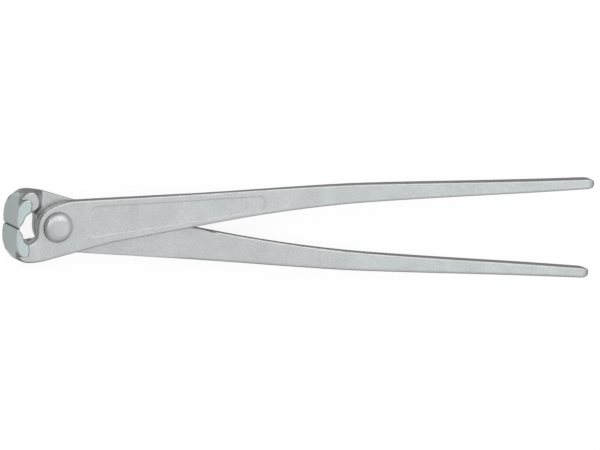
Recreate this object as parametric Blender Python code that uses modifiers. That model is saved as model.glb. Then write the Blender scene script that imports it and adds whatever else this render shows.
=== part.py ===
# Front cutting pliers: two forged levers that cross in a lap joint on one rivet, jaws closed.
# Metres. +X points to the handle ends, +Y across the jaws, +Z up along the rivet.
# The origin is the middle of the rivet's lower flat. The front lever is shaped about the
# pivot with the lap at its local zero, and the rear lever is the same forging turned over.

import math

import bmesh
import bpy
import numpy as np
from mathutils import Matrix, Vector

# Driving dimensions of the whole tool
LENGTH = 0.3000
JAW_REACH = 0.0228
HEAD_HALF = 0.0173
HANDLE_SPREAD = 0.0220
BITE_HALF = 0.0103
JAW_HALF = 0.0073
CHEEK_THICKNESS = 0.00515

# Clearances
LAP_GAP = 0.0003
EDGE_GAP = 0.0003
RUNNING_GAP = 0.00025
OVERRUN = 0.0050
WELD = 0.000001
SNAP = 0.0001

# Rivet
SHANK_RADIUS = 0.0050
RIVET_HEAD_RADIUS = 0.0071
RIVET_FLAT_RADIUS = 0.0042
RIVET_HEAD_HEIGHT = 0.00365
RIVET_WALL = 0.00135

# Jaws
EDGE_GROOVE = 0.00055
PAD_END_RADIUS = 0.0026
PAD_RIM = 0.00045
NOSE_DEPTH = 0.0239

# Cheek, boss and neck
BOSS_RADIUS = 0.0099
BOSS_CLEARANCE = 0.0015
BOSS_CLEARANCE_SLOPE = 0.47
LAP_SEAT = 0.00002
NECK_REACH = 0.0400
NECK_TOP = 0.0146
NECK_BOTTOM = 0.0055
RIM = 0.0010
JAW_RIM = 0.0008

# Handles
TIP_DEPTH = 0.0049
TIP_HALF = 0.004075
TIP_ROUND = 0.0040
GRIP_RIM = 0.0012
GRIP_RIM_START = 0.0850

# Recessed panel on the outer face of each lever
PANEL_START = 0.0164
PANEL_END = 0.1065
PANEL_TOP = 0.0101
PANEL_TOP_SLOPE = 0.0604
PANEL_BOTTOM = 0.00537
PANEL_BOTTOM_SLOPE = 0.1535
PANEL_DEPTH = 0.00045

# Places along the jaw, as shares of JAW_REACH, and the nose across it, as shares of HEAD_HALF
PAD_BACK_SHARE = 0.717
RIM_START_SHARE = 0.829
NOSE_CENTRE_SHARES = (0.689, 1.156)
NOSE_SIZE_SHARES = (0.553, 2.26)

# How much of the panel's narrow end its round corners take
PANEL_CORNER_SHARE = 0.93

# Worked out from the sizes above
LAP = LAP_GAP / 2
CHEEK_TOP = LAP + CHEEK_THICKNESS
HANDLE_REACH = LENGTH - JAW_REACH
RIVET_UNDER = CHEEK_TOP + RUNNING_GAP
RIVET_HALF = RIVET_UNDER + RIVET_HEAD_HEIGHT
LAP_HEIGHT = RIVET_HALF
NECK_DEPTH = NECK_TOP + NECK_BOTTOM
PAD_BACK = PAD_BACK_SHARE * JAW_REACH
RIM_START = RIM_START_SHARE * JAW_REACH
NOSE_CENTRE = (NOSE_CENTRE_SHARES[0] * JAW_REACH, NOSE_CENTRE_SHARES[1] * HEAD_HALF)
NOSE_SIZE = (NOSE_SIZE_SHARES[0] * JAW_REACH, NOSE_SIZE_SHARES[1] * HEAD_HALF, NOSE_DEPTH)

# Outline of the lower jaw, as shares of JAW_REACH in front of the pivot and of HEAD_HALF below it
EDGE_TIP_SHARE = 0.965
BITE_SHARES = ((1.0, 0.232), (0.982, 0.492), (0.947, 0.694), (0.925, 0.792))
CHIN_SHARES = ((0.905, 0.870), (0.870, 0.948))
BACK_SHARES = ((0.87, 0.948), (0.811, 0.978), (0.7, 0.993), (0.548, 1.0), (0.386, 0.98), (0.263, 0.957))
INNER_EDGE_SHARES = ((0.965, 0.0), (0.868, 0.150), (0.838, 0.260), (0.811, 0.341), (0.759, 0.422))
PAD_CORNER_SHARE = 0.454

# The throat's wall, as shares of the way from the boss to the pads and of HEAD_HALF
THROAT_SHARES = ((0.791, 0.471), (0.388, 0.427), (0.0946, 0.330), (0.031, 0.266), (0.006, 0.167))

# Heights along the head: the ramp up to the jaw on the outer face, the shoulder on the lap side
RAMP_SHARES = (0.592, 0.329)
SHOULDER_REACH_SHARES = (0.498, 0.408, 0.346, 0.316)
SHOULDER_HEIGHT_SHARES = (1.0, 0.466, 0.103)

# Upper edge of the neck, as shares of NECK_REACH and NECK_TOP
BOSS_END_DEGREES = 113
NECK_SHARES = ((-0.0275, 0.726), (0.0825, 0.822), (0.18, 0.873), (0.3075, 0.897), (0.565, 0.938), (1, 1))

# Handle: places along HANDLE_REACH, then the shares that its middle line, depth and faces follow
PLACE_SHARES = (0.1443, 0.2525, 0.3608, 0.4509, 0.5411, 0.6494, 0.7756, 0.9019, 1.0)
MIDDLE_SHARES = (0.208, 0.373, 0.533, 0.648, 0.740, 0.808, 0.872, 0.938, 1.0)
TAPER_SHARES = (1.0, 0.744, 0.522, 0.391, 0.299, 0.213, 0.128, 0.056, 0.0)
OUTER_BLEND_SHARES = (0.0, 0.37, 0.69, 0.893, 1.0, 1.0, 1.0, 1.0, 1.0)
LAP_BLEND_SHARES = (0.0, 0.0, 0.32, 0.616, 0.861, 1.0, 1.0, 1.0, 1.0)
GRIP_SHARES = (0.8, 0.8, 0.8, 0.82, 0.847, 0.87, 0.926, 0.975, 1.0)

# Smoothness
HANDLE_STATIONS = 22
CURVE_STEPS = 3
ARC_STEP_DEGREES = 6
RIM_SEGMENTS = 3
TIP_STEPS = 5
DOME_STEPS = 6
ROUND_SIDES = 64
NOSE_SIDES = 72
SMOOTH_DEGREES = 32

# Finishes, as colour, metallic share and roughness
FORGED_ZINC = ((0.72, 0.74, 0.74, 1.0), 0.85, 0.42)
RIVET_STEEL = ((0.74, 0.76, 0.75, 1.0), 0.85, 0.36)


def clear_scene():
    for item in list(bpy.data.objects):
        bpy.data.objects.remove(item, do_unlink=True)


def new_collection(name):
    collection = bpy.data.collections.new(name)
    bpy.context.scene.collection.children.link(collection)
    return collection


def new_material(name, finish):
    colour, metallic, roughness = finish
    material = bpy.data.materials.new(name)
    material.use_nodes = True
    shader = material.node_tree.nodes["Principled BSDF"]
    shader.inputs["Base Color"].default_value = colour
    shader.inputs["Metallic"].default_value = metallic
    shader.inputs["Roughness"].default_value = roughness
    return material


def add_object(name, data, collection):
    item = bpy.data.objects.new(name, data)
    collection.objects.link(item)
    return item


def as_cutter(item):
    item.hide_render = True
    item.display_type = "WIRE"
    return item


def mesh_of(item):
    graph = bpy.context.evaluated_depsgraph_get()
    return bpy.data.meshes.new_from_object(item.evaluated_get(graph))


def add_boolean(item, other, operation):
    modifier = item.modifiers.new(f"{operation.title()} {other.name}", "BOOLEAN")
    modifier.operation = operation
    modifier.solver = "EXACT"
    modifier.object = other


# A curve through all the points, with CURVE_STEPS pieces from each point to the next.
def smooth_through(points):
    ends = [2 * Vector(points[0]) - Vector(points[1]), 2 * Vector(points[-1]) - Vector(points[-2])]
    spine = [ends[0]] + [Vector(point) for point in points] + [ends[1]]
    curve = [tuple(points[0])]
    for a, b, c, d in zip(spine, spine[1:], spine[2:], spine[3:]):
        for step in range(1, CURVE_STEPS + 1):
            t = step / CURVE_STEPS
            bend = (2 * a - 5 * b + 4 * c - d) * t**2 + (3 * b - a - 3 * c + d) * t**3
            curve.append(tuple(b + ((c - a) * t + bend) / 2))
    return curve


def arc(centre, radius, start, end, steps=None):
    steps = steps or max(2, round(abs(end - start) / ARC_STEP_DEGREES))
    angles = [math.radians(start + (end - start) * step / steps) for step in range(steps + 1)]
    return [(centre[0] + radius * math.cos(a), centre[1] + radius * math.sin(a)) for a in angles]


# A closed outline with each of its corners rounded to the radius.
def rounded(corners, radius):
    outline = []
    count = len(corners)
    for index in range(count):
        corner = Vector(corners[index])
        back = (Vector(corners[index - 1]) - corner).normalized()
        ahead = (Vector(corners[(index + 1) % count]) - corner).normalized()
        half_angle = back.angle(ahead) / 2
        centre = corner + (back + ahead).normalized() * radius / math.sin(half_angle)
        first = corner + back * radius / math.tan(half_angle) - centre
        last = corner + ahead * radius / math.tan(half_angle) - centre
        start = math.degrees(math.atan2(first.y, first.x))
        turn = (math.degrees(math.atan2(last.y, last.x)) - start + 180) % 360 - 180
        outline += arc(centre, radius, start, start + turn)
    return outline


# The places along the handle where its section is set, from the neck to the start of the tip.
def handle_stations():
    return list(np.linspace(NECK_REACH, HANDLE_REACH - TIP_ROUND, HANDLE_STATIONS))


# The value that a row of shares has at x, on a smooth curve through the places.
def along_handle(shares, x):
    places = np.array(PLACE_SHARES) * HANDLE_REACH
    values = np.array(shares)
    slopes = np.gradient(values, places)
    index = int(np.clip(np.searchsorted(places, x) - 1, 0, len(places) - 2))
    span = places[index + 1] - places[index]
    t = float(np.clip((x - places[index]) / span, 0, 1))
    rise = values[index + 1] - values[index]
    start = slopes[index] * span
    end = slopes[index + 1] * span
    bend = (3 * rise - 2 * start - end) * t**2 + (start + end - 2 * rise) * t**3
    return float(values[index] + start * t + bend)


def handle_edges(x):
    middle = HANDLE_SPREAD * along_handle(MIDDLE_SHARES, x)
    depth = TIP_DEPTH + (NECK_DEPTH - TIP_DEPTH) * along_handle(TAPER_SHARES, x)
    return middle - depth / 2, middle + depth / 2


def outer_height(x):
    blend = along_handle(OUTER_BLEND_SHARES, x)
    return CHEEK_TOP * (1 - blend) + TIP_HALF * along_handle(GRIP_SHARES, x) * blend


def lap_height(x):
    blend = along_handle(LAP_BLEND_SHARES, x)
    return LAP * (1 - blend) - TIP_HALF * along_handle(GRIP_SHARES, x) * blend


def head_points(shares):
    return [(-x * JAW_REACH, -y * HEAD_HALF - EDGE_GAP / 2) for x, y in shares]


# The wall of the throat from the pads to the boss.
def throat_line():
    way = PAD_BACK - BOSS_RADIUS
    return [(-BOSS_RADIUS - x * way, -y * HEAD_HALF - EDGE_GAP / 2) for x, y in THROAT_SHARES]


# The front of the jaw in one smooth line, from the foot of the edge groove to the start of the back.
def face_line():
    foot = (-EDGE_TIP_SHARE * JAW_REACH - EDGE_GROOVE, -EDGE_GAP / 2 - EDGE_GROOVE)
    return smooth_through([foot] + head_points(BITE_SHARES + CHIN_SHARES))


# The stretch of the jaw that the pad covers: inner side, cutting edge, groove and front face.
def pad_stretch():
    corner = (-PAD_BACK, -PAD_CORNER_SHARE * HEAD_HALF)
    inner = smooth_through(head_points(INNER_EDGE_SHARES)) + [corner]
    return inner[::-1] + face_line()[: CURVE_STEPS * len(BITE_SHARES) + 1]


def lever_outline():
    stretch = pad_stretch()
    chin = face_line()[CURVE_STEPS * len(BITE_SHARES) + 1 :]
    back = smooth_through(head_points(BACK_SHARES))[1:]
    lower = [(x, handle_edges(x)[0]) for x in handle_stations()]
    upper = [(x, handle_edges(x)[1]) for x in reversed(handle_stations())]
    neck = smooth_through([(x * NECK_REACH, y * NECK_TOP) for x, y in NECK_SHARES])[::-1]
    boss = arc((0, 0), BOSS_RADIUS, BOSS_END_DEGREES, 180)
    throat = smooth_through([stretch[0]] + throat_line())[::-1]
    return stretch + chin + back + lower + upper[:-1] + neck + boss + throat[:-1]


# A flat outline as a filled 2D curve with thickness, made a mesh with one face on each side.
def outline_mesh(name, outline, half_thickness):
    curve = bpy.data.curves.new(name, "CURVE")
    curve.dimensions = "2D"
    curve.fill_mode = "BOTH"
    curve.extrude = half_thickness
    spline = curve.splines.new("POLY")
    spline.points.add(len(outline) - 1)
    spline.use_cyclic_u = True
    for point, place in zip(spline.points, outline):
        point.co = (place[0], place[1], 0, 1)
    guide = add_object(name, curve, bpy.context.scene.collection)
    mesh = mesh_of(guide)
    bpy.data.objects.remove(guide, do_unlink=True)
    shape = bmesh.new()
    shape.from_mesh(mesh)
    bmesh.ops.remove_doubles(shape, verts=shape.verts, dist=WELD)
    inner = [edge for edge in shape.edges if all(abs(face.normal.z) > 0.9 for face in edge.link_faces)]
    bmesh.ops.dissolve_edges(shape, edges=inner, use_verts=False)
    bmesh.ops.recalc_face_normals(shape, faces=shape.faces)
    return mesh, shape


# Splits a prism across at each place and moves its lower and upper sides to heights along x.
def set_heights(shape, half_thickness, low, high):
    for x, _ in low + high:
        parts = shape.verts[:] + shape.edges[:] + shape.faces[:]
        bmesh.ops.bisect_plane(shape, geom=parts, dist=SNAP, plane_co=(x, 0, 0), plane_no=(1, 0, 0))
    for vert in shape.verts:
        side = 1 if vert.co.z > 0 else -1
        places, heights = zip(*(high if side > 0 else low))
        vert.co.z += float(np.interp(vert.co.x, places, heights)) - side * half_thickness


def finish_mesh(mesh, shape):
    shape.to_mesh(mesh)
    shape.free()
    return mesh


# Rounds the edges between the walls and the upper (1) or lower (-1) face of a flat prism.
def round_rims(shape, side, width, wanted):
    shape.normal_update()
    rims = []
    for edge in shape.edges:
        tilts = sorted(side * face.normal.z for face in edge.link_faces)
        middle = (edge.verts[0].co + edge.verts[1].co) / 2
        if abs(tilts[0]) < 0.01 and tilts[1] > 0.99 and wanted(middle):
            rims.append(edge)
    bmesh.ops.bevel(
        shape,
        geom=rims,
        offset=width,
        offset_type="OFFSET",
        segments=RIM_SEGMENTS,
        profile=0.5,
        affect="EDGES",
        clamp_overlap=False,
    )


# The end of the handle, drawn out in steps that shrink as an ellipse does.
def round_tip(shape):
    shape.normal_update()
    end = max(shape.faces, key=lambda face: face.calc_center_median().x)
    low, high = handle_edges(HANDLE_REACH - TIP_ROUND)
    axis = Vector((0, (low + high) / 2, (outer_height(HANDLE_REACH) + lap_height(HANDLE_REACH)) / 2))
    scale = 1.0
    reach = 0.0
    for step in range(1, TIP_STEPS + 1):
        angle = math.radians(90) * step / (TIP_STEPS + 1)
        smaller = math.cos(angle)
        moved = TIP_ROUND * math.sin(angle) / math.sin(math.radians(90) * TIP_STEPS / (TIP_STEPS + 1))
        grown = bmesh.ops.extrude_discrete_faces(shape, faces=[end])
        end = grown["faces"][0]
        bmesh.ops.translate(shape, verts=end.verts, vec=(moved - reach, 0, 0))
        factor = smaller / scale
        bmesh.ops.scale(shape, verts=end.verts, vec=(1, factor, factor), space=Matrix.Translation(-axis))
        scale = smaller
        reach = moved


def lever_body():
    mesh, shape = outline_mesh("Lever body", lever_outline(), OVERRUN)
    ramp = [-share * JAW_REACH for share in RAMP_SHARES]
    shoulder = [-share * JAW_REACH for share in SHOULDER_REACH_SHARES]
    end = HANDLE_REACH - TIP_ROUND - WELD
    round_rims(shape, 1, RIM, lambda middle: -RIM_START < middle.x < end)
    round_rims(shape, -1, JAW_RIM, lambda middle: -RIM_START < middle.x < shoulder[0])
    round_rims(shape, -1, GRIP_RIM, lambda middle: GRIP_RIM_START < middle.x < end)
    drops = [-share * JAW_HALF for share in SHOULDER_HEIGHT_SHARES] + [LAP]
    high = list(zip(ramp, (JAW_HALF, CHEEK_TOP))) + [(x, outer_height(x)) for x in handle_stations()]
    low = list(zip(shoulder, drops)) + [(x, lap_height(x)) for x in handle_stations()]
    set_heights(shape, OVERRUN, low, high)
    round_tip(shape)
    return finish_mesh(mesh, shape)


# The ground pads on both sides of a jaw, one prism right through it with rounded rims.
def pad_mesh():
    stretch = pad_stretch()
    centre = (-PAD_BACK - PAD_END_RADIUS, stretch[-1][1] + PAD_END_RADIUS)
    outline = stretch + arc(centre, PAD_END_RADIUS, 270, 360)
    mesh, shape = outline_mesh("Jaw pads", outline, BITE_HALF)
    for side in (1, -1):
        round_rims(shape, side, PAD_RIM, lambda middle: True)
    return finish_mesh(mesh, shape)


# Everything in front of the jaws outside an ellipsoid, which leaves their rounded nose.
def nose_cutter(collection):
    bpy.ops.mesh.primitive_uv_sphere_add(segments=NOSE_SIDES, ring_count=NOSE_SIDES // 2, radius=1)
    ball = as_cutter(bpy.context.object)
    ball.name = "Nose ball"
    place = Matrix.Translation((-NOSE_CENTRE[0], NOSE_CENTRE[1], 0))
    ball.data.transform(place @ Matrix.Diagonal((*NOSE_SIZE, 1)))
    for owner in ball.users_collection:
        owner.objects.unlink(ball)
    collection.objects.link(ball)
    bpy.ops.mesh.primitive_cube_add(size=1)
    block = as_cutter(bpy.context.object)
    block.name = "Nose cutter"
    size = (2 * JAW_REACH - 2 * NOSE_CENTRE[0] + OVERRUN, 2 * HEAD_HALF + OVERRUN, 2 * BITE_HALF + OVERRUN)
    place = Matrix.Translation((-NOSE_CENTRE[0] - size[0] / 2, 0, 0))
    block.data.transform(place @ Matrix.Diagonal((*size, 1)))
    for owner in block.users_collection:
        owner.objects.unlink(block)
    collection.objects.link(block)
    add_boolean(block, ball, "DIFFERENCE")
    return block


# A cone or cylinder about the pivot, from the lower to the upper height.
def turned_cutter(name, collection, lower, upper, lower_radius, upper_radius):
    shape = bmesh.new()
    bmesh.ops.create_cone(
        shape,
        cap_ends=True,
        segments=ROUND_SIDES,
        radius1=lower_radius,
        radius2=upper_radius,
        depth=upper - lower,
        matrix=Matrix.Translation((0, 0, (lower + upper) / 2)),
    )
    mesh = finish_mesh(bpy.data.meshes.new(name), shape)
    return as_cutter(add_object(name, mesh, collection))


def panel_cutter(collection):
    ends = (PANEL_START, PANEL_END)
    top = [(x, PANEL_TOP + PANEL_TOP_SLOPE * (x - PANEL_START)) for x in ends]
    bottom = [(x, -PANEL_BOTTOM + PANEL_BOTTOM_SLOPE * (x - PANEL_START)) for x in ends]
    corners = [bottom[0], bottom[1], top[1], top[0]]
    radius = PANEL_CORNER_SHARE * (top[1][1] - bottom[1][1]) / 2
    mesh, shape = outline_mesh("Panel cutter", rounded(corners, radius), OVERRUN)
    places = [PANEL_START] + [x for x in handle_stations() if x < PANEL_END] + [PANEL_END]
    floor = [(x, outer_height(x) - PANEL_DEPTH) for x in places]
    above = [(x, outer_height(x) + OVERRUN) for x in places]
    set_heights(shape, OVERRUN, floor, above)
    return as_cutter(add_object("Panel cutter", finish_mesh(mesh, shape), collection))


def forging_mesh(cutters):
    blank = as_cutter(add_object("Lever blank", lever_body(), cutters))
    pads = as_cutter(add_object("Jaw pads", pad_mesh(), cutters))
    clearance_radius = BOSS_RADIUS + BOSS_CLEARANCE
    deep = JAW_HALF + OVERRUN
    seat = LAP + LAP_SEAT
    wide = clearance_radius + BOSS_CLEARANCE_SLOPE * (deep + seat)
    relief = turned_cutter("Boss clearance", cutters, -deep, seat, wide, clearance_radius)
    hole_radius = SHANK_RADIUS + RUNNING_GAP
    hole = turned_cutter("Rivet hole", cutters, -OVERRUN, CHEEK_TOP + OVERRUN, hole_radius, hole_radius)
    add_boolean(blank, pads, "UNION")
    add_boolean(blank, nose_cutter(cutters), "DIFFERENCE")
    add_boolean(blank, relief, "DIFFERENCE")
    add_boolean(blank, hole, "DIFFERENCE")
    add_boolean(blank, panel_cutter(cutters), "DIFFERENCE")
    mesh = mesh_of(blank)
    mesh.name = "Lever forging"
    mesh.materials.clear()
    mesh.materials.append(new_material("Forged zinc-plated steel", FORGED_ZINC))
    mesh.shade_smooth()
    mesh.set_sharp_from_angle(angle=math.radians(SMOOTH_DEGREES))
    return mesh


def add_levers(collection, cutters):
    mesh = forging_mesh(cutters)
    front = add_object("front_lever", mesh, collection)
    front.location.z = LAP_HEIGHT
    rear = add_object("rear_lever", mesh, collection)
    rear.location.z = LAP_HEIGHT
    rear.rotation_euler.x = math.radians(180)


# Half of the rivet's section, from the middle of the upper flat down to the lower one.
def rivet_profile():
    shoulder = RIVET_UNDER + RIVET_WALL
    dome_width = RIVET_HEAD_RADIUS - RIVET_FLAT_RADIUS
    dome_height = RIVET_HALF - shoulder
    upper = [(0, RIVET_HALF)]
    for point in arc((0, 0), 1, 90, 0, DOME_STEPS):
        upper.append((RIVET_FLAT_RADIUS + dome_width * point[0], shoulder + dome_height * point[1]))
    upper += [(RIVET_HEAD_RADIUS, RIVET_UNDER), (SHANK_RADIUS, RIVET_UNDER)]
    return upper + [(radius, -height) for radius, height in reversed(upper)]


def add_rivet(collection):
    profile = rivet_profile()
    mesh = bpy.data.meshes.new("Rivet profile")
    edges = [(index, index + 1) for index in range(len(profile) - 1)]
    mesh.from_pydata([(radius, 0, height) for radius, height in profile], edges, [])
    rivet = add_object("joint_rivet", mesh, collection)
    rivet.location.z = LAP_HEIGHT
    turn = rivet.modifiers.new("Turned", "SCREW")
    turn.steps = ROUND_SIDES
    turn.render_steps = ROUND_SIDES
    turn.use_merge_vertices = True
    turn.merge_threshold = WELD
    turn.use_smooth_shade = True
    mesh.materials.append(new_material("Rivet steel", RIVET_STEEL))


def main():
    clear_scene()
    tool = new_collection("Front cutting pliers")
    cutters = new_collection("Cutters")
    add_levers(tool, cutters)
    add_rivet(tool)


main()
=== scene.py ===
# Front cutting pliers: the forged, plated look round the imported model.
import math

import bpy
import numpy as np
from mathutils import Euler, Matrix, Vector
from mathutils.kdtree import KDTree


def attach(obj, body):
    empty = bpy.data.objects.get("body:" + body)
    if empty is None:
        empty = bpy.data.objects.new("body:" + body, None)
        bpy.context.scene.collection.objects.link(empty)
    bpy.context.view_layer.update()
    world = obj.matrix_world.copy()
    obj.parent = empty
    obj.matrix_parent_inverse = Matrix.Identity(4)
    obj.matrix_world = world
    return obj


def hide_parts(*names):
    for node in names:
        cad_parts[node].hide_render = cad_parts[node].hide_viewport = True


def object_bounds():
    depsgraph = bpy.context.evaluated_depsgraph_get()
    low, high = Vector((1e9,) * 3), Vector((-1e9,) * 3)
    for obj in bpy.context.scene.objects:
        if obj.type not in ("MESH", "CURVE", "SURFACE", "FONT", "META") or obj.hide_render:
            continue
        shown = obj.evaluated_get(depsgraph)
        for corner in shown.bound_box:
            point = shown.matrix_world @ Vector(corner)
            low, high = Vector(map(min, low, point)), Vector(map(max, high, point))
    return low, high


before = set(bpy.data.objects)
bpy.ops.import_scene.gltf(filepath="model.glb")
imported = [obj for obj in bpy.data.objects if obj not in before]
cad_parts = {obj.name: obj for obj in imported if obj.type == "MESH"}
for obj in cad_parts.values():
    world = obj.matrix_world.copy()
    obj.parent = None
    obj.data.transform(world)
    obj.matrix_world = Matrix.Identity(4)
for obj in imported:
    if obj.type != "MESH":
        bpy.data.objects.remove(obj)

# The grips lie towards +X and the jaws towards -X. In the levers' functions, x, y and z are measured from
# the pivot, and height is the distance from the lap to either side. In their dictionaries, a length named
# ...Ahead is measured from the pivot towards the jaws, ...Along towards the grips, ...Across towards -Y and
# ...Depths below the lap. Where no note says otherwise, two values are the ends of a soft step, and four
# are two steps, one up and one down.

cadBox = [list(corner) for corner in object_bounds()]
pivot = Vector((0.0, 0.0, 0.0092))  # where the rivet's axis meets the lap
print("frame loaded, CAD box", cadBox)


def clearSelection():
    bpy.ops.object.select_all(action="DESELECT")


def makeActive(piece):
    clearSelection()
    piece.select_set(True)
    bpy.context.view_layer.objects.active = piece


def applyModifiers(piece):
    makeActive(piece)
    for modifier in list(piece.modifiers):
        bpy.ops.object.modifier_apply(modifier=modifier.name)


def readPoints(piece, value):
    points = np.empty(len(piece.data.vertices) * 3)
    piece.data.vertices.foreach_get(value, points)
    return points.reshape(-1, 3)


def pointsOf(piece):
    return readPoints(piece, "co")


def setPoints(piece, points):
    piece.data.vertices.foreach_set("co", np.ascontiguousarray(points, dtype=np.float32).ravel())
    piece.data.update()


# 0 up to low, 1 from high on, and a soft step between.
def fadeBetween(values, low, high):
    share = np.clip((values - low) / (high - low), 0, 1)
    return share * share * (3 - 2 * share)


# 1 between the two middle values of the zone, and 0 outside its ends.
def within(values, zone):
    first, full, fullEnd, last = zone
    return fadeBetween(values, first, full) * (1 - fadeBetween(values, fullEnd, last))


# The two levers: one forging, softened as forging and plating leave it.

leverForm = {
    "weld": 0.000002,         # points of the solid nearer than this become one
    "grid": 0.00028,          # size of the remesh cells at the head
    "stretch": 2.6,           # how much longer the cells are along the handle, and where they grow to that
    "stretchZone": (0.022, 0.050),
    "tableSpan": (-0.05, 0.35),   # the table that squeezes the lever for this is longer than the lever
    "tableSteps": 4001,

    "softening": 9,           # smoothing passes on forged surfaces
    "groundShare": 0.16,      # how much of that reaches the ground pads
    "groundAhead": (0.0155, 0.0163),
    "panelShare": 0.12,       # and the edges of the recessed panel
    "panelAlong": (0.0145, 0.0160, 0.107, 0.110),
    "panelHeights": (0.0030, 0.0036),
    "throatSoftening": 26,    # more passes round the throat, where the relief leaves thin edges
    "throatAhead": (0.0088, 0.0100, 0.0150, 0.0162),
    "throatAcross": (0.0010, 0.0025, 0.0090, 0.0105),
    "rimSoftening": 10,       # more passes on the outer edges of the jaw behind its ground front
    "rimTurns": (236, 244),
    "rimNearness": (0.90, 0.95),
    "rimAhead": (0.0040, 0.0070),

    "cheek": 0.0053,          # heights of cheek and jaw over the lap
    "jawHalf": 0.0073,
    "cadRamp": (0.0075, 0.0135),   # the solid's straight ramp from cheek to jaw, and the sweep in its place
    "rampAhead": (0.0068, 0.0205),
    "rampHeights": (0.0040, 0.0050, 0.0074, 0.0080),

    "hollowUpper": (0.0120, 0.0022),   # middle and depth of the shoulder's hollow, at its crest and its foot
    "hollowFoot": (0.0130, 0.0007),
    "hollowHalf": 0.005,      # half its width, and the share of that past which it gets no deeper
    "hollowLimit": 1.04,
    "shoulderAhead": (0.0050, 0.0066, 0.0115, 0.0200),
    "shoulderAcross": (0.0050, 0.0070),
    "shoulderDepths": (0.0002, 0.0010, 0.0076, 0.0086),

    "padStretch": (0.0007, 0.0006),    # how far the pads are drawn back and out
    "padHeights": (0.0074, 0.0080),
    "padFrom": 0.0120,
    "padBackAlong": (-0.0190, -0.0168),
    "padBackFrom": 0.0020,
    "padOutAcross": (0.0095, 0.0125),

    "panelFrom": 0.0164,      # where the recessed panel starts, and a place past its end
    "panelBy": 0.112,
    "panelTop": (0.0101, 0.0604),      # start and slope of its upper edge and of its lower edge
    "panelBottom": (-0.00537, 0.1535),
    "panelMargins": (0.002, 0.0005),   # how far past its edges a point still counts, along and across
    "panelDeepest": 0.0008,   # a deeper point lies on the handle's side
    "panelDepthShare": 0.5,

    "lapRim": 0.0012,         # rounded edge on the lap side, and where it grows from nothing
    "lapRimLeast": 0.00001,
    "lapRimFrom": 0.050,
    "lapRimBy": 0.073,
    "lapRimEnd": 0.088,       # from here on the solid has its own

    "jawCentre": (-0.0100, -0.0060),
    "jawTurns": (140, 300),   # degrees round that centre, and the cells of the map of the jaw's outside
    "mapTurn": 2.5,
    "mapRow": 0.0007,
    "mapLowest": -0.0105,
    "mapRows": 31,
    "headUntil": 0.004,
    "leastOutside": 0.009,    # a cell with a shorter reach holds no part of the outside
    "leastReach": 0.001,      # stands in for shorter reaches where something is divided by them
    "evenTurns": (158, 168, 276, 290),
    "evenNearness": (0.5, 0.95),
    "evenedOver": 6.0,        # degrees
    "evenedCells": 8,
    "cornerTurn": 229.0,      # the corner between nose and back, how wide it is drawn in and how far
    "cornerWidth": 13.0,
    "cornerDraw": 0.0005,

    "edgeGap": 0.00004,       # what stays open between the cutting edges
    "edgeReach": 0.0016,      # how far below the edge its points are drawn along, and the highest that are
    "edgeTop": 0.001,
    "edgeAhead": (0.0175, 0.0187),
    "seamHalf": 0.0009,       # the groove along the closed edges: half its width, and its depth
    "seamDepth": 0.0007,
    "seamAhead": (0.0200, 0.0213),
}


# Places along the lever, and where they lie while it is squeezed for the remesh.
def squeezeTable(form):
    x = np.linspace(*form["tableSpan"], form["tableSteps"])
    share = fadeBetween(x, *form["stretchZone"])
    slope = 1 / (1 + (form["stretch"] - 1) * share)
    squeezed = np.concatenate([[0], np.cumsum((slope[1:] + slope[:-1]) / 2 * np.diff(x))]) + x[0]
    return x, squeezed


def forgedCopy(name, node, form):
    piece = bpy.data.objects.new(name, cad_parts[node].data.copy())
    bpy.context.scene.collection.objects.link(piece)
    makeActive(piece)
    bpy.ops.object.mode_set(mode="EDIT")
    bpy.ops.mesh.select_all(action="SELECT")
    bpy.ops.mesh.remove_doubles(threshold=form["weld"])
    bpy.ops.object.mode_set(mode="OBJECT")
    real, squeezed = squeezeTable(form)
    points = pointsOf(piece)
    points[:, 0] = np.interp(points[:, 0], real, squeezed)
    setPoints(piece, points)
    remesh = piece.modifiers.new("Remesh", "REMESH")
    remesh.mode = "VOXEL"
    remesh.voxel_size = form["grid"]
    applyModifiers(piece)
    points = pointsOf(piece)
    points[:, 0] = np.interp(points[:, 0], squeezed, real)
    setPoints(piece, points)
    return piece


# The smallest and largest value of the points at each millimetre along the lever.
def limitsAlong(x, values):
    perMetre, ahead, slots, farOff = 1000, 50, 401, 1.0
    slot = np.clip(np.round(x * perMetre).astype(int) + ahead, 0, slots - 1)
    high = np.full(slots, -farOff)
    low = np.full(slots, farOff)
    np.maximum.at(high, slot, values)
    np.minimum.at(low, slot, values)
    filled = np.flatnonzero(high > -farOff)
    place = (filled - ahead) / perMetre
    return np.interp(x, place, low[filled]), np.interp(x, place, high[filled])


# The cheek rises to the jaw in one long sweep.
def easeRamp(points, form):
    x, z = points[:, 0], points[:, 2] - pivot.z
    rise = form["jawHalf"] - form["cheek"]
    first, last = form["cadRamp"]
    straight = np.clip((-x - first) / (last - first), 0, 1)
    swept = fadeBetween(-x, *form["rampAhead"])
    share = within(z, form["rampHeights"])
    points[:, 2] += np.where(x < 0, rise * (swept - straight) * share, 0)


# How far the shoulder is drawn towards the jaws: not at the hollow's middle, and by its depth at its ends.
def hollowCurve(y, form, middle, deep):
    limit = form["hollowLimit"]
    return np.clip((abs(y) - middle) / form["hollowHalf"], -limit, limit) ** 2 * deep


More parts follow.
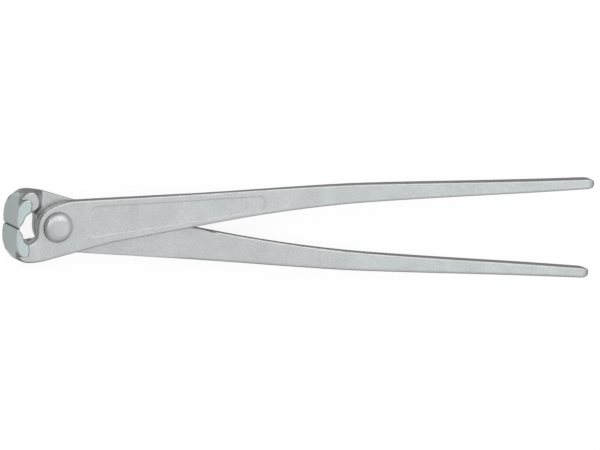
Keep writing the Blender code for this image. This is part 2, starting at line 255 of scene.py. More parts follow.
# The shoulder on the lap side is hollow, seen along the rivet, and its foot less so.
def hollowShoulder(points, form):
    x, y, z = points[:, 0], points[:, 1], points[:, 2] - pivot.z
    upper, foot = hollowCurve(y, form, *form["hollowUpper"]), hollowCurve(y, form, *form["hollowFoot"])
    toCrest = np.clip(-z / form["jawHalf"], 0, 1)
    share = within(-x, form["shoulderAhead"]) * within(-z, form["shoulderDepths"])
    share *= fadeBetween(-y, *form["shoulderAcross"])
    points[:, 0] -= (upper * toCrest + foot * (1 - toCrest)) * share


# The ground pads reach a little further back and further out than the softened solid leaves them.
def stretchPads(points, form):
    x, y, height = points[:, 0], points[:, 1], abs(points[:, 2] - pivot.z)
    back, out = form["padStretch"]
    onPad = fadeBetween(height, *form["padHeights"]) * (x < -form["padFrom"])
    points[:, 0] += back * onPad * fadeBetween(x, *form["padBackAlong"]) * (y < -form["padBackFrom"])
    points[:, 1] -= out * onPad * fadeBetween(-y, *form["padOutAcross"])


def shallowPanel(points, form):
    x, y, z = points[:, 0], points[:, 1], points[:, 2] - pivot.z
    lead, margin = form["panelMargins"]
    onHandle = (x > form["panelFrom"] - lead) & (x < form["panelBy"]) & (z > 0)
    top = limitsAlong(x[onHandle], z[onHandle])[1]
    along = x[onHandle] - form["panelFrom"]
    under = form["panelTop"][0] + form["panelTop"][1] * along + margin - y[onHandle]
    over = y[onHandle] - form["panelBottom"][0] - form["panelBottom"][1] * along + margin
    depth = top - z[onHandle]
    inside = (under > 0) & (over > 0) & (depth < form["panelDeepest"])
    points[onHandle, 2] += np.where(inside, depth * (1 - form["panelDepthShare"]), 0)


# The edges of the lap side grow round towards the grip instead of starting at one place.
def growLapRim(points, form):
    x, y, z = points[:, 0], points[:, 1], points[:, 2] - pivot.z
    onHandle = (x > form["lapRimFrom"]) & (x < form["lapRimEnd"])
    xs, ys, zs = x[onHandle], y[onHandle], z[onHandle]
    low, high = limitsAlong(xs, ys)
    lap = limitsAlong(xs, zs)[0]
    radius = form["lapRim"] * fadeBetween(xs, form["lapRimFrom"], form["lapRimBy"]) + form["lapRimLeast"]
    inward = np.clip(np.minimum(ys - low, high - ys) / radius, 0, 1)
    rounded = lap + radius * (1 - np.sqrt(1 - (1 - inward) ** 2))
    points[onHandle, 2] = np.maximum(zs, rounded) + pivot.z


def smoothWhere(piece, weight, passes):
    group = piece.vertex_groups.new(name="forged")
    steps = 100  # weights are rounded to this many, so that points are added in few groups
    level = np.round(weight * steps).astype(int)
    for step in range(1, steps + 1):
        members = np.flatnonzero(level == step)
        if len(members):
            group.add(members.tolist(), step / steps, "REPLACE")
    smooth = piece.modifiers.new("Softening", "SMOOTH")
    smooth.factor = 0.5
    smooth.iterations = passes
    smooth.vertex_group = "forged"
    applyModifiers(piece)
    piece.vertex_groups.clear()


def soften(piece, form):
    points = pointsOf(piece)
    x, y, z = points[:, 0], points[:, 1], points[:, 2] - pivot.z
    onPad = fadeBetween(-x, *form["groundAhead"])
    onPanel = fadeBetween(z, *form["panelHeights"]) * within(x, form["panelAlong"])
    weight = (1 - onPad * (1 - form["groundShare"])) * (1 - onPanel * (1 - form["panelShare"]))
    smoothWhere(piece, weight, form["softening"])
    inThroat = within(-x, form["throatAhead"]) * within(-y, form["throatAcross"])
    smoothWhere(piece, inThroat, form["throatSoftening"])
    points = pointsOf(piece)
    jaw = jawRound(points, form)
    onRim = fadeBetween(jaw["turn"], *form["rimTurns"]) * fadeBetween(jaw["nearness"], *form["rimNearness"])
    onRim *= fadeBetween(-points[:, 0], *form["rimAhead"]) * jaw["onHead"]
    smoothWhere(piece, onRim, form["rimSoftening"])


# Turn and reach of each point about the jaw's middle, whether it lies on the head, the map of how far the
# outside is at each height and turn, the point's place on that map, and its nearness to the outside, which
# is 1 there.
def jawRound(points, form):
    first, last = form["jawTurns"]
    justInside = 1.001
    offset = points[:, :2] - form["jawCentre"]
    turn = np.degrees(np.arctan2(offset[:, 1], offset[:, 0])) % 360
    reach = np.hypot(offset[:, 0], offset[:, 1])
    columns, rows = int((last - first) / form["mapTurn"]) + 1, form["mapRows"]
    column = np.clip((turn - first) / form["mapTurn"], 0, columns - justInside)
    row = np.clip((points[:, 2] - pivot.z - form["mapLowest"]) / form["mapRow"], 0, rows - justInside)
    onHead = (points[:, 0] < form["headUntil"]) & (turn > first) & (turn < last)
    outside = np.zeros((rows, columns))
    place = np.round(row[onHead]).astype(int), np.round(column[onHead]).astype(int)
    np.maximum.at(outside, place, reach[onHead])
    for line in outside:
        known = np.flatnonzero(line > form["leastOutside"])
        if len(known):
            line[:] = np.interp(np.arange(columns), known, line[known])
    return {
        "turn": turn,
        "reach": reach,
        "onHead": onHead,
        "outside": outside,
        "place": (row, column),
        "nearness": reach / np.maximum(readMap(outside, row, column), form["leastReach"]),
    }


def readMap(table, row, column):
    top, left = row.astype(int), column.astype(int)
    down, across = row - top, column - left
    upper = table[top, left] * (1 - across) + table[top, left + 1] * across
    lower = table[top + 1, left] * (1 - across) + table[top + 1, left + 1] * across
    return upper * (1 - down) + lower * down


# The jaw's outside is evened along its round, and the corner between nose and back is drawn in.
def evenJaw(points, form):
    jaw = jawRound(points, form)
    turn, reach, outside, cells = jaw["turn"], jaw["reach"], jaw["outside"], form["evenedCells"]
    bell = np.exp(-0.5 * (np.arange(-cells, cells + 1) * form["mapTurn"] / form["evenedOver"]) ** 2)
    bell /= bell.sum()
    evened = np.array([np.convolve(np.pad(line, cells, mode="edge"), bell, mode="valid") for line in outside])
    change = np.pad(evened - outside, ((1, 1), (0, 0)), mode="edge")
    moved = readMap((change[:-2] + 2 * change[1:-1] + change[2:]) / 4, *jaw["place"])
    moved -= form["cornerDraw"] * np.exp(-(((turn - form["cornerTurn"]) / form["cornerWidth"]) ** 2))
    share = within(turn, form["evenTurns"]) * fadeBetween(jaw["nearness"], *form["evenNearness"])
    share *= jaw["onHead"]
    scale = 1 + moved * share / np.maximum(reach, form["leastReach"])
    points[:, :2] = form["jawCentre"] + (points[:, :2] - form["jawCentre"]) * scale[:, None]


# The cutting edges meet but for a hair, and the front falls away to them in a groove.
def closeEdges(points, form):
    ahead, y = -points[:, 0], points[:, 1]
    top = y[(ahead > form["edgeAhead"][1]) & (y > -form["edgeReach"])].max()
    lift = -form["edgeGap"] / 2 - top
    share = fadeBetween(y, -form["edgeReach"], top) * fadeBetween(ahead, *form["edgeAhead"])
    points[:, 1] += np.where(y < form["edgeTop"], lift * share, 0)
    flank = np.clip(1 + points[:, 1] / form["seamHalf"], 0, 1) * fadeBetween(ahead, *form["seamAhead"])
    points[:, 0] += form["seamDepth"] * flank


# Ground steel, painted shade and lighter rubbed edges with a painted sheen go on the lever's points, from 0
# to 1.

leverFinishAndShade = {
    "borderTurn": 230,        # where the ground front ends at the lap, in degrees about the jaw's middle
    "borderDrop": 11,         # how much earlier it ends at this height, and the earliest that it does
    "borderHeight": 0.005,
    "borderLeast": 205,
    "borderBlend": 1.2,
    "frontNearness": (0.88, 0.95),
    "frontAhead": (0.0170, 0.0185),
    "padHeights": (0.0093, 0.0098),    # the ground pads on top
    "padAhead": (0.0145, 0.0155),

    "outsideNearness": 0.93,  # a point at least this near to the outside belongs to it
    "noseAhead": 0.0170,
    "padFrom": 0.0120,        # the pad's painted shadow line: where it may lie, the heights of the pad's wall, from which its width is measured, and that width
    "padInner": 0.0012,       # which its width is measured, and that width
    "padWall": (0.0085, 0.0095),
    "padLine": (0.00040, 0.00080),

    "reach": 14,              # passes that tell hollows from edges, and the rises that count as either
    "hollowRise": (0.00002, 0.00011),
    "edgeRise": (0.00006, 0.00020),
    # Painted shade in hollows, and less of it in the throat.
    "hollowShade": 0.7,
    "throatUnshaded": 1.0,       # how much less painted shade the throat's wall gets

    "shoulderShade": 0.8,     # how dark the painted shade on the shoulder's slope is: at its crest, its foot and between
    "slopeAlong": (-0.0138, -0.0128, -0.0076, -0.0070),
    "slopeAcross": (0.0050, 0.0070),
    "crestDepths": (0.0050, 0.0060, 0.0069, 0.0073),
    "footDepths": (0.0002, 0.0006, 0.0010, 0.0018),
    "middleDepths": (0.0004, 0.0012, 0.0064, 0.0071),
    "middleShare": 0.35,

    "seamAcross": (0.0002, 0.0006),    # painted shade in the groove along the closed edges
    "seamAhead": (0.0190, 0.0200),

    "creviceHeights": (0.0008, 0.0020),   # painted shade at the foot of the boss's wall, where it stands over the lap
    "creviceLowest": -0.0002,
    "creviceFacing": (0.4, 0.7),
    "creviceAlong": (-0.0125, 0.0200),    # with hard ends
    "creviceFrom": -0.0040,
    "openShare": 0.6,         # how much lighter it is on its lower side, above its very foot
    "openFrom": (0.0015, 0.0050),
    "openHeights": (0.0003, 0.0008),

    "rivetHead": 0.0071,      # the painted shadow line round the rivet's head: its radius, width, and where it may lie
    "rivetLine": (0.00025, 0.00055),
    "rivetUnder": 0.0004,
    "rivetBelow": 0.0065,

    "borderShade": 0.7,       # a darker painted line along the border of the ground front, in degrees to either side
    "borderLine": (0.8, 2.2),
    "borderHeights": (0.0088, 0.0094),

    "stripShade": 0.7,        # painted shade on the forged strip beside the pads, from that border to the jaw's corner
    "stripBlend": 2,
    "stripTurns": (226, 238),
    "stripHeights": (0.0045, 0.0060, 0.0096, 0.0100),
    "stripFacing": (0.72, 0.92),

    "rimShade": 0.6,          # painted shade on the jaw's rounded rim on the cheek's side
    "rimFacing": (0.10, 0.35, 0.80, 0.92),
    "rimHeights": (0.0035, 0.0050),
    "rimTurns": (222, 232),
    "rimAhead": 0.0030,
}


def paint(piece, name, values):
    share = piece.data.attributes.new(name, "FLOAT", "POINT")
    share.data.foreach_set("value", values.astype(np.float32))


# Where each point lies, and how far it faces along the rivet.
def surveyLever(piece, form, finishAndShade):
    points = pointsOf(piece)
    at = jawRound(points, form)
    at["points"] = points
    at["x"], at["y"], at["z"] = points[:, 0], points[:, 1], points[:, 2] - pivot.z
    at["height"] = abs(at["z"])
    at["facing"] = abs(readPoints(piece, "normal")[:, 2])
    at["onOutside"] = at["onHead"] & (at["nearness"] >= finishAndShade["outsideNearness"])
    at["onNose"] = at["onOutside"] & (at["x"] < -finishAndShade["noseAhead"])
    return at


# The turn at which the ground front of the jaw ends, at each height.
def frontBorder(height, finishAndShade):
    drop = finishAndShade["borderDrop"] * (height / finishAndShade["borderHeight"]) ** 2
    return np.maximum(finishAndShade["borderTurn"] - drop, finishAndShade["borderLeast"])


# How much of each point is ground steel: the pads, and the front of the jaw up to its rounded border.
def groundShare(at, finishAndShade):
    border, blend = frontBorder(at["height"], finishAndShade), finishAndShade["borderBlend"]
    front = (1 - fadeBetween(at["turn"], border - blend, border + blend)) * at["onHead"]
    front *= fadeBetween(at["nearness"], *finishAndShade["frontNearness"])
    front *= fadeBetween(-at["x"], *finishAndShade["frontAhead"])
    pad = fadeBetween(at["height"], *finishAndShade["padHeights"]) * fadeBetween(-at["x"], *finishAndShade["padAhead"])
    return np.maximum(front, pad)


# The painted shadow line round the ground pads, from how near each point lies to the wall round its pad.
def padShadowLine(at, finishAndShade):
    low, high = finishAndShade["padWall"]
    aboutPad = at["onHead"] & (at["nearness"] < finishAndShade["outsideNearness"])
    aboutPad &= (at["x"] < -finishAndShade["padFrom"]) & (at["y"] < -finishAndShade["padInner"])
    onWall = aboutPad & (at["height"] > low) & (at["height"] < high)
    onPad = aboutPad & (at["height"] > high)
    tree = KDTree(int(onWall.sum()))
    for index, place in enumerate(at["points"][onWall]):
        tree.insert((place[0], place[1], 0), index)
    tree.balance()
    away = np.array([tree.find((place[0], place[1], 0))[2] for place in at["points"][onPad]])
    share = np.zeros(len(onPad))
    share[onPad] = 1 - fadeBetween(away, *finishAndShade["padLine"])
    share[onWall] = 1
    return share


# How far smoothing would move each point outwards, so above 0 in hollows and below 0 on edges.
def riseOf(piece, passes):
    probe = bpy.data.objects.new("probe", piece.data.copy())
    bpy.context.scene.collection.objects.link(probe)
    smoothWhere(probe, np.ones(len(probe.data.vertices)), passes)
    rise = ((pointsOf(probe) - pointsOf(piece)) * readPoints(piece, "normal")).sum(axis=1)
    bpy.data.objects.remove(probe, do_unlink=True)
    return rise


# Painted shade on the slope of the shoulder, darkest at its crest and its foot.
def shoulderShading(at, finishAndShade):
    crest, foot = within(-at["z"], finishAndShade["crestDepths"]), within(-at["z"], finishAndShade["footDepths"])
    middle = finishAndShade["middleShare"] * within(-at["z"], finishAndShade["middleDepths"])
    shade = np.maximum.reduce([crest, foot, middle]) * within(at["x"], finishAndShade["slopeAlong"])
    return shade * fadeBetween(-at["y"], *finishAndShade["slopeAcross"])


# Painted shade in the groove where the cutting edges close.
def seamShading(at, finishAndShade):
    return (1 - fadeBetween(-at["y"], *finishAndShade["seamAcross"])) * fadeBetween(-at["x"], *finishAndShade["seamAhead"])


# Painted shade at the foot of the boss's wall, lighter on its lower, open side.
def creviceShading(at, finishAndShade):
    x, y, z = at["x"], at["y"], at["z"]
    first, last = finishAndShade["creviceAlong"]
    shade = (1 - fadeBetween(z, *finishAndShade["creviceHeights"])) * (z > finishAndShade["creviceLowest"])
    shade *= 1 - fadeBetween(at["facing"], *finishAndShade["creviceFacing"])
    shade *= (x > first) & (x < last) & (y > finishAndShade["creviceFrom"])
    opened = (1 - fadeBetween(y, *finishAndShade["openFrom"])) * fadeBetween(z, *finishAndShade["openHeights"])
    return shade * (1 - finishAndShade["openShare"] * opened)


# Painted shadow line on the cheek round the rivet's head.
def rivetShadowLine(at, finishAndShade):
    away = np.hypot(at["x"], at["y"]) - finishAndShade["rivetHead"]
    nearHead = (away > -finishAndShade["rivetUnder"]) & (at["height"] < finishAndShade["rivetBelow"])
    return (1 - fadeBetween(away, *finishAndShade["rivetLine"])) * nearHead


# A darker painted line along the border of the ground front, on the jaw's nose.
def borderDarkLine(at, finishAndShade):
    off = abs(at["turn"] - frontBorder(at["height"], finishAndShade))
    line = (1 - fadeBetween(off, *finishAndShade["borderLine"])) * at["onNose"]
    return line * (1 - fadeBetween(at["height"], *finishAndShade["borderHeights"]))


# Painted shade on the sideways-facing forged strip beside the pads.
def stripShading(at, finishAndShade):
    border = frontBorder(at["height"], finishAndShade)
    shade = fadeBetween(at["turn"], border, border + finishAndShade["stripBlend"]) * at["onNose"]
    shade *= 1 - fadeBetween(at["turn"], *finishAndShade["stripTurns"])
    shade *= 1 - fadeBetween(at["facing"], *finishAndShade["stripFacing"])
    return shade * within(at["height"], finishAndShade["stripHeights"])


# Painted shade on the jaw's rounded rim, chosen by which way it faces.
def rimShading(at, finishAndShade):
    shade = within(at["facing"], finishAndShade["rimFacing"]) * fadeBetween(at["z"], *finishAndShade["rimHeights"])
    shade *= fadeBetween(at["turn"], *finishAndShade["rimTurns"])
    return shade * (at["onOutside"] & (at["x"] < -finishAndShade["rimAhead"]))


# Paints the ground share, the painted shade of hollows, creases, seams and rims, and rubbed edges with their
# painted sheen.
def paintLever(piece, form, finishAndShade):
    at = surveyLever(piece, form, finishAndShade)
    paint(piece, "ground", groundShare(at, finishAndShade))
    rise = riseOf(piece, finishAndShade["reach"])
    inThroat = within(-at["x"], form["throatAhead"]) * (1 - fadeBetween(-at["y"], *form["throatAcross"][2:]))
    paintedShade = fadeBetween(rise, *finishAndShade["hollowRise"]) * (1 - finishAndShade["throatUnshaded"] * inThroat)
    padShadow = padShadowLine(at, finishAndShade)
    shades = [
        padShadow,
        seamShading(at, finishAndShade),
        creviceShading(at, finishAndShade),
        rivetShadowLine(at, finishAndShade),
        finishAndShade["hollowShade"] * paintedShade,
        finishAndShade["shoulderShade"] * shoulderShading(at, finishAndShade),
        finishAndShade["borderShade"] * borderDarkLine(at, finishAndShade),
        finishAndShade["stripShade"] * stripShading(at, finishAndShade),
        finishAndShade["rimShade"] * rimShading(at, finishAndShade),
    ]
    paint(piece, "paintedShade", np.maximum.reduce(shades))
    # Convex edges lighten: partly rubbed bare, partly a painted sheen.
    paint(piece, "rubbedAndSheen", fadeBetween(-rise, *finishAndShade["edgeRise"]) * (1 - padShadow))


def turnedOver(piece, name):
    other = bpy.data.objects.new(name, piece.data.copy())
    bpy.context.scene.collection.objects.link(other)
    turn = Matrix.Translation(pivot) @ Matrix.Rotation(math.radians(180), 4, "X") @ Matrix.Translation(-pivot)
    other.data.transform(turn)
    return other


print("levers")
frontLever = forgedCopy("front_lever_forging", "front_lever", leverForm)
shape = pointsOf(frontLever)
for shaping in (easeRamp, hollowShoulder, stretchPads, shallowPanel, growLapRim, evenJaw):
    shaping(shape, leverForm)
setPoints(frontLever, shape)
soften(frontLever, leverForm)
shape = pointsOf(frontLever)
closeEdges(shape, leverForm)
setPoints(frontLever, shape)
paintLever(frontLever, leverForm, leverFinishAndShade)
makeActive(frontLever)
bpy.ops.object.shade_smooth()
rearLever = turnedOver(frontLever, "rear_lever_forging")
print("triangles in one lever", sum(len(face.vertices) - 2 for face in frontLever.data.polygons))


# The rivet, turned in steps from a cylinder.

rivetForm = {
    "headRadius": 0.0071,
    "flatRadius": 0.0038,
    "headHeight": 0.00365,
    "wallHeight": 0.0005,
    "brokenEdge": 0.00012,    # the slant under the head's rim
    "shankRadius": 0.0050,
    "under": 0.00555,         # height of the head's underside over the lap
    "sides": 160,
    "domeSteps": 14,
    "domeTurn": 56,           # degrees of the dome's arc before the flat cuts it off
    "crease": 12,             # degrees past which an edge stays sharp
}


def headProfile(form):
    rim, under, slant = form["headRadius"], form["under"], form["brokenEdge"]
    shoulder = under + form["wallHeight"]
    profile = [(form["shankRadius"], under), (rim - slant, under), (rim, under + slant), (rim, shoulder)]
    turn = math.radians(form["domeTurn"])
    wide = (rim - form["flatRadius"]) / (1 - math.cos(turn))
    high = (form["headHeight"] - form["wallHeight"]) / math.sin(turn)
    for step in range(1, form["domeSteps"] + 1):
        angle = turn * step / form["domeSteps"]
        profile.append((rim - wide * (1 - math.cos(angle)), shoulder + high * math.sin(angle)))
    return profile


# The selected end face moves along the axis and shrinks or grows to the next ring.
def drawOut(radius, height, fromRadius, fromHeight):
    bpy.ops.mesh.extrude_region_move(TRANSFORM_OT_translate={"value": (0, 0, height - fromHeight)})
    share = radius / fromRadius
    bpy.ops.transform.resize(value=(share, share, 1), center_override=(0, 0, height))


def buildRivet(form):
    clearSelection()
    bpy.ops.mesh.primitive_cylinder_add(
        vertices=form["sides"], radius=form["shankRadius"], depth=2 * form["under"], location=pivot
    )
    rivet = bpy.context.object
    rivet.name = "joint_rivet_turned"
    bpy.ops.object.transform_apply(location=True, rotation=True, scale=True)
    profile = headProfile(form)
    for side in (1, -1):
        bpy.ops.object.mode_set(mode="EDIT")
        bpy.ops.mesh.select_mode(type="FACE")
        bpy.ops.mesh.select_all(action="DESELECT")
        bpy.ops.object.mode_set(mode="OBJECT")
        end = max(rivet.data.polygons, key=lambda face: side * face.center.z)
        end.select = True
        bpy.ops.object.mode_set(mode="EDIT")
        rings = [(radius, pivot.z + side * height) for radius, height in profile]
        for (fromRadius, fromHeight), (radius, height) in zip(rings, rings[1:]):
            drawOut(radius, height, fromRadius, fromHeight)
        bpy.ops.object.mode_set(mode="OBJECT")
    bpy.ops.object.mode_set(mode="EDIT")
    bpy.ops.mesh.select_all(action="SELECT")
    bpy.ops.mesh.normals_make_consistent(inside=False)
    bpy.ops.object.mode_set(mode="OBJECT")
    bpy.ops.object.shade_smooth_by_angle(angle=math.radians(form["crease"]))
    return rivet


print("rivet")
rivet = buildRivet(rivetForm)


# Finishes. A noise is given in cycles per metre, and a ...Range holds the noise levels at which a finish
# is all light or smooth, and all dull or rough.

forgedLook = {
    "light": (0.744, 0.750, 0.746, 1),
    "dull": (0.608, 0.616, 0.614, 1),
    "metallic": 0.9,
    "roughness": (0.40, 0.46),
    "grain": 1500.0,          # blasted grain
    "grainDetail": 3,
    "grainRoughness": 0.6,
    "grainDepth": 0.00004,
    "cloud": 90.0,            # the plating's slow changes, and their share of the colour's
    "cloudDetail": 4,
    "cloudShare": 0.2,
    "colourRange": (0.38, 0.62),
    "roughRange": (0.3, 0.7),
    # Painted shade darkens towards the first colour; rubbed edges with their painted sheen lighten towards
    # the second.
    "shadeColour": (0.18, 0.195, 0.207, 1),
    "bareAndSheen": (0.80, 0.815, 0.81, 1),
    "hollowShade": 0.85,      # how strongly the painted shade darkens, and rubbed edges with their painted sheen brighten
    "rubbedAndSheenShare": 0.45,
}
groundLook = {
    "light": (0.690, 0.755, 0.762, 1),
    "dull": (0.660, 0.727, 0.734, 1),
    "roughness": (0.30, 0.40),
    "scratch": 900.0,         # grinding marks, drawn out along Y
    "scratchDetail": 3,
    "scratchRoughness": 0.6,
    "scratchStretch": (1, 0.08, 1),
    "scratchDepth": 0.000003,
    "colourRange": (0.35, 0.65),
    "roughRange": (0.3, 0.7),
}
rivetLook = {
    "light": (0.72, 0.735, 0.73, 1),
    "dull": (0.64, 0.655, 0.65, 1),
    "metallic": 0.9,
    "roughness": (0.34, 0.44),
    "grain": 1200.0,
    "grainDetail": 3,
    "grainRoughness": 0.6,
    "grainDepth": 0.000015,
    "cloud": 250,
    "cloudDetail": 3,
    "colourRange": (0.35, 0.65),
    "roughRange": (0.3, 0.7),
}


def newFinish(name, look):
    material = bpy.data.materials.new(name)
    material.use_nodes = True
    tree = material.node_tree
    shader = tree.nodes["Principled BSDF"]
    shader.inputs["Metallic"].default_value = look["metallic"]
    place = tree.nodes.new("ShaderNodeTexCoord").outputs["Object"]
    return material, tree, shader, place


def linkMath(tree, operation, first, second):
    node = tree.nodes.new("ShaderNodeMath")
    node.operation = operation
    for socket, value in zip(node.inputs, (first, second)):
        if isinstance(value, (int, float)):
            socket.default_value = value
        else:
            tree.links.new(value, socket)
    return node.outputs[0]


def noiseAt(tree, place, scale, detail, roughness=0.5, stretch=(1, 1, 1)):
    mapping = tree.nodes.new("ShaderNodeMapping")
    mapping.inputs["Scale"].default_value = stretch
    tree.links.new(place, mapping.inputs["Vector"])
    noise = tree.nodes.new("ShaderNodeTexNoise")
    noise.inputs["Scale"].default_value = scale
    noise.inputs["Detail"].default_value = detail
    noise.inputs["Roughness"].default_value = roughness
    tree.links.new(mapping.outputs["Vector"], noise.inputs["Vector"])
    return noise.outputs["Fac"]


def mixedColour(tree, factor, first, second):
    mix = tree.nodes.new("ShaderNodeMix")
    mix.data_type = "RGBA"
    colours = [socket for socket in mix.inputs if socket.type == "RGBA"]
    for socket, value in zip(colours, (first, second)):
        if isinstance(value, tuple):
            socket.default_value = value
        else:
            tree.links.new(value, socket)
    tree.links.new(factor, mix.inputs["Factor"])
    return next(socket for socket in mix.outputs if socket.type == "RGBA")


def spread(tree, value, fromLow, fromHigh, toLow, toHigh):
    ranged = tree.nodes.new("ShaderNodeMapRange")
    ranged.inputs["From Min"].default_value = fromLow
    ranged.inputs["From Max"].default_value = fromHigh
    ranged.inputs["To Min"].default_value = toLow
    ranged.inputs["To Max"].default_value = toHigh
    tree.links.new(value, ranged.inputs["Value"])
    return ranged.outputs["Result"]


# The value of the second finish where share is 1, of the first where it is 0.
def between(tree, share, first, second):
    rest = linkMath(tree, "SUBTRACT", 1.0, share)
    kept = linkMath(tree, "MULTIPLY", first, rest)
    return linkMath(tree, "ADD", kept, linkMath(tree, "MULTIPLY", second, share))


def zincColour(tree, noise, look):
    return mixedColour(tree, spread(tree, noise, *look["colourRange"], 0, 1), look["light"], look["dull"])


def zincRoughness(tree, noise, look):
    return spread(tree, noise, *look["roughRange"], *look["roughness"])


def zincGrain(tree, place, look):
    return noiseAt(tree, place, look["grain"], look["grainDetail"], look["grainRoughness"])


# The height is in metres, so the bump is at its real size.
def addBump(tree, shader, height):
    bump = tree.nodes.new("ShaderNodeBump")
    bump.inputs["Strength"].default_value = 1.0
    bump.inputs["Distance"].default_value = 1.0
    tree.links.new(height, bump.inputs["Height"])
    tree.links.new(bump.outputs["Normal"], shader.inputs["Normal"])


def paintedShare(tree, name):
    painted = tree.nodes.new("ShaderNodeAttribute")
    painted.attribute_name = name
    return painted.outputs["Fac"]


def leverZinc(name, forged, ground):
    material, tree, shader, place = newFinish(name, forged)
    share = paintedShare(tree, "ground")
    cloud = noiseAt(tree, place, forged["cloud"], forged["cloudDetail"])
    grain = zincGrain(tree, place, forged)
    noise = ground["scratch"], ground["scratchDetail"], ground["scratchRoughness"]
    scratch = noiseAt(tree, place, *noise, ground["scratchStretch"])
    slow = linkMath(tree, "MULTIPLY", cloud, forged["cloudShare"])
    mottle = linkMath(tree, "ADD", slow, linkMath(tree, "MULTIPLY", grain, 1 - forged["cloudShare"]))
    colour = mixedColour(tree, share, zincColour(tree, mottle, forged), zincColour(tree, scratch, ground))
    # Painted shade darkens hollows, creases, seams and rims towards the shade colour.
    paintedShade = linkMath(tree, "MULTIPLY", paintedShare(tree, "paintedShade"), forged["hollowShade"])
    # Rubbed edges lighten towards bare zinc, partly as wear and partly as a painted sheen.
    rubbedAndSheen = linkMath(tree, "MULTIPLY", paintedShare(tree, "rubbedAndSheen"), forged["rubbedAndSheenShare"])
    colour = mixedColour(tree, rubbedAndSheen, mixedColour(tree, paintedShade, colour, forged["shadeColour"]), forged["bareAndSheen"])
    tree.links.new(colour, shader.inputs["Base Color"])
    rough = between(tree, share, zincRoughness(tree, cloud, forged), zincRoughness(tree, scratch, ground))
    tree.links.new(rough, shader.inputs["Roughness"])
    forgedHeight = linkMath(tree, "MULTIPLY", grain, forged["grainDepth"])
    groundHeight = linkMath(tree, "MULTIPLY", scratch, ground["scratchDepth"])
    addBump(tree, shader, between(tree, share, forgedHeight, groundHeight))
    return material


def rivetZinc(name, look):
    material, tree, shader, place = newFinish(name, look)
    cloud = noiseAt(tree, place, look["cloud"], look["cloudDetail"])
    tree.links.new(zincColour(tree, cloud, look), shader.inputs["Base Color"])
    tree.links.new(zincRoughness(tree, cloud, look), shader.inputs["Roughness"])
    addBump(tree, shader, linkMath(tree, "MULTIPLY", zincGrain(tree, place, look), look["grainDepth"]))
    return material


print("finishes")
leverSkin = leverZinc("Blasted and ground zinc", forgedLook, groundLook)
for lever in (frontLever, rearLever):
    lever.data.materials.clear()
    lever.data.materials.append(leverSkin)
rivet.data.materials.clear()
rivet.data.materials.append(rivetZinc("Formed rivet heads", rivetLook))

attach(frontLever, "front_half")
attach(rearLever, "rear_half")
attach(rivet, "front_half")
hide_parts("front_lever")
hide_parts("rear_lever")
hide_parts("joint_rivet")


# Floor, world, lamps and camera.

studio = {
    "floorSize": 6.0,
    "floorCentre": 0.13,
    "floorGap": 0.0003,       # between the floor and the lowest point
    "floorColour": (0.23, 0.23, 0.23, 1),
    "floorRoughness": 0.9,
    "floorSeen": 0.87,        # light that only the camera sees on the floor
    "floorMirrored": 0.06,    # light that only mirrored rays see on it
    "card": 0.31,             # a pale card in front of the jaws, which only mirrored rays see
    "cardEdge": (0.003, 0.009),
    "cardTaper": 0.6,         # how much further ahead it starts to either side
    "bounce": 0.10,           # more of it under the throat
    "bounceEdge": (-0.0120, -0.0145),
    "white": (1, 1, 1, 1),
    "ambient": 0.55,
    "mirroredLow": 0.63,      # the studio as the metal shows it, from its dark to its bright side
    "mirroredHigh": 0.735,
    "brightSide": (-0.15, 0.82, 0.45),
    "brightReach": (-0.9, 0.75),       # how far the darkest and brightest directions face that side
    "horizon": 0.45,          # how much of that is left at the horizon, and the Z over which it comes back
    "horizonReach": (0.0, 0.28),
}
softboxes = {
    "Key": {"place": (0.40, 1.15, 0.85), "target": (0.12, 0, 0), "size": (2.0, 1.2), "power": 5.5},
    "Side": {"place": (-0.95, 0.45, 0.45), "target": (0, 0, 0), "size": (1.0, 1.0), "power": 1.7},
    "Handle fill": {
        "place": (0.56, -0.13, 0.80),
        "target": (0.27, 0, 0),
        "size": (0.3, 0.3),
        "power": 0.24,
        "colour": (0.74, 0.97, 1.0),
    },
}
cameraView = {
    "lens": 1250.0,
    "sensor": 36.0,
    "farthest": 100.0,
    "place": (-3.472697, 1.590995, 9.257749),
    "turn": (-10.5041, -20.6310, 3.9150),   # degrees
}


# The rays that show something in metal or through glass.
def mirroredRays(tree, rays):
    return linkMath(tree, "MAXIMUM", rays.outputs["Is Glossy Ray"], rays.outputs["Is Transmission Ray"])


# What mirrored rays see on the floor: dim behind the card's edge, and brighter in front of it.
def floorCard(tree, settings):
    place = tree.nodes.new("ShaderNodeSeparateXYZ")
    tree.links.new(tree.nodes.new("ShaderNodeTexCoord").outputs["Object"], place.inputs[0])
    near, far = settings["cardEdge"]
    sideways = linkMath(tree, "ABSOLUTE", place.outputs["Y"], 0)
    taper = linkMath(tree, "MULTIPLY", sideways, settings["cardTaper"])
    forward = linkMath(tree, "ADD", place.outputs["X"], taper)
    bounced = spread(tree, forward, *settings["bounceEdge"], settings["bounce"], 0.0)
    full = linkMath(tree, "ADD", bounced, settings["card"])
    card = linkMath(tree, "MULTIPLY", spread(tree, forward, -near, -far, 0.0, 1.0), full)
    return linkMath(tree, "ADD", card, settings["floorMirrored"])


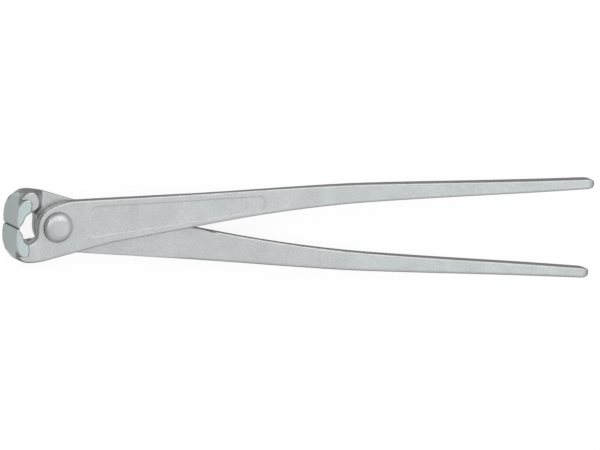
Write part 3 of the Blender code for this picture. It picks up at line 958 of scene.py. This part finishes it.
def buildFloor(settings):
    clearSelection()
    height = min(corner[2] for corner in cadBox) - settings["floorGap"]
    centre = settings["floorCentre"], 0, height
    bpy.ops.mesh.primitive_plane_add(size=settings["floorSize"], location=centre)
    floor = bpy.context.object
    floor.name = "Floor"
    bpy.ops.object.transform_apply(location=True, rotation=True, scale=True)
    material = bpy.data.materials.new("Pale floor")
    material.use_nodes = True
    tree = material.node_tree
    shader = tree.nodes["Principled BSDF"]
    shader.inputs["Base Color"].default_value = settings["floorColour"]
    shader.inputs["Roughness"].default_value = settings["floorRoughness"]
    shader.inputs["Specular IOR Level"].default_value = 0.0
    rays = tree.nodes.new("ShaderNodeLightPath")
    seen = linkMath(tree, "MULTIPLY", rays.outputs["Is Camera Ray"], settings["floorSeen"])
    shown = linkMath(tree, "MULTIPLY", mirroredRays(tree, rays), floorCard(tree, settings))
    glow = tree.nodes.new("ShaderNodeEmission")
    tree.links.new(linkMath(tree, "ADD", seen, shown), glow.inputs["Strength"])
    added = tree.nodes.new("ShaderNodeAddShader")
    tree.links.new(shader.outputs[0], added.inputs[0])
    tree.links.new(glow.outputs[0], added.inputs[1])
    tree.links.new(added.outputs[0], tree.nodes["Material Output"].inputs["Surface"])
    floor.data.materials.append(material)


# What mirrored rays see of the world: a bright side, a dark side and a dimmed horizon.
def studioLevel(tree, settings):
    direction = tree.nodes.new("ShaderNodeTexCoord").outputs["Generated"]
    facing = tree.nodes.new("ShaderNodeVectorMath")
    facing.operation = "DOT_PRODUCT"
    facing.inputs[1].default_value = Vector(settings["brightSide"]).normalized()
    tree.links.new(direction, facing.inputs[0])
    levels = settings["mirroredLow"], settings["mirroredHigh"]
    level = spread(tree, facing.outputs["Value"], *settings["brightReach"], *levels)
    parts = tree.nodes.new("ShaderNodeSeparateXYZ")
    tree.links.new(direction, parts.inputs[0])
    dimmed = spread(tree, parts.outputs["Z"], *settings["horizonReach"], settings["horizon"], 1.0)
    return linkMath(tree, "MULTIPLY", level, dimmed)


def buildWorld(settings):
    world = bpy.data.worlds.new("Studio")
    bpy.context.scene.world = world
    world.use_nodes = True
    tree = world.node_tree
    ambient = tree.nodes["Background"]
    mirror = tree.nodes.new("ShaderNodeBackground")
    backdrop = tree.nodes.new("ShaderNodeBackground")
    for shown in (ambient, mirror, backdrop):
        shown.inputs["Color"].default_value = settings["white"]
    ambient.inputs["Strength"].default_value = settings["ambient"]
    backdrop.inputs["Strength"].default_value = 1.0
    tree.links.new(studioLevel(tree, settings), mirror.inputs["Strength"])
    rays = tree.nodes.new("ShaderNodeLightPath")
    surface = ambient.outputs[0]
    for share, shown in ((mirroredRays(tree, rays), mirror), (rays.outputs["Is Camera Ray"], backdrop)):
        mix = tree.nodes.new("ShaderNodeMixShader")
        tree.links.new(share, mix.inputs["Fac"])
        tree.links.new(surface, mix.inputs[1])
        tree.links.new(shown.outputs[0], mix.inputs[2])
        surface = mix.outputs[0]
    tree.links.new(surface, tree.nodes["World Output"].inputs["Surface"])


def addSoftbox(name, place, target, size, power, colour=(1, 1, 1)):
    lamp = bpy.data.lights.new(name, "AREA")
    lamp.shape = "RECTANGLE"
    lamp.size, lamp.size_y = size
    lamp.energy = power
    lamp.color = colour
    box = bpy.data.objects.new(name, lamp)
    bpy.context.scene.collection.objects.link(box)
    box.location = place
    box.rotation_euler = (Vector(target) - Vector(place)).to_track_quat("-Z", "Y").to_euler()


def buildCamera(settings):
    data = bpy.data.cameras.new("Camera")
    data.sensor_width = settings["sensor"]
    data.lens = settings["lens"]
    data.clip_end = settings["farthest"]
    camera = bpy.data.objects.new("Camera", data)
    bpy.context.scene.collection.objects.link(camera)
    camera.location = settings["place"]
    camera.rotation_euler = Euler([math.radians(angle) for angle in settings["turn"]])
    bpy.context.scene.camera = camera


print("studio")
buildFloor(studio)
buildWorld(studio)
for name, softbox in softboxes.items():
    addSoftbox(name, **softbox)
buildCamera(cameraView)
bpy.context.scene.view_settings.view_transform = "Standard"
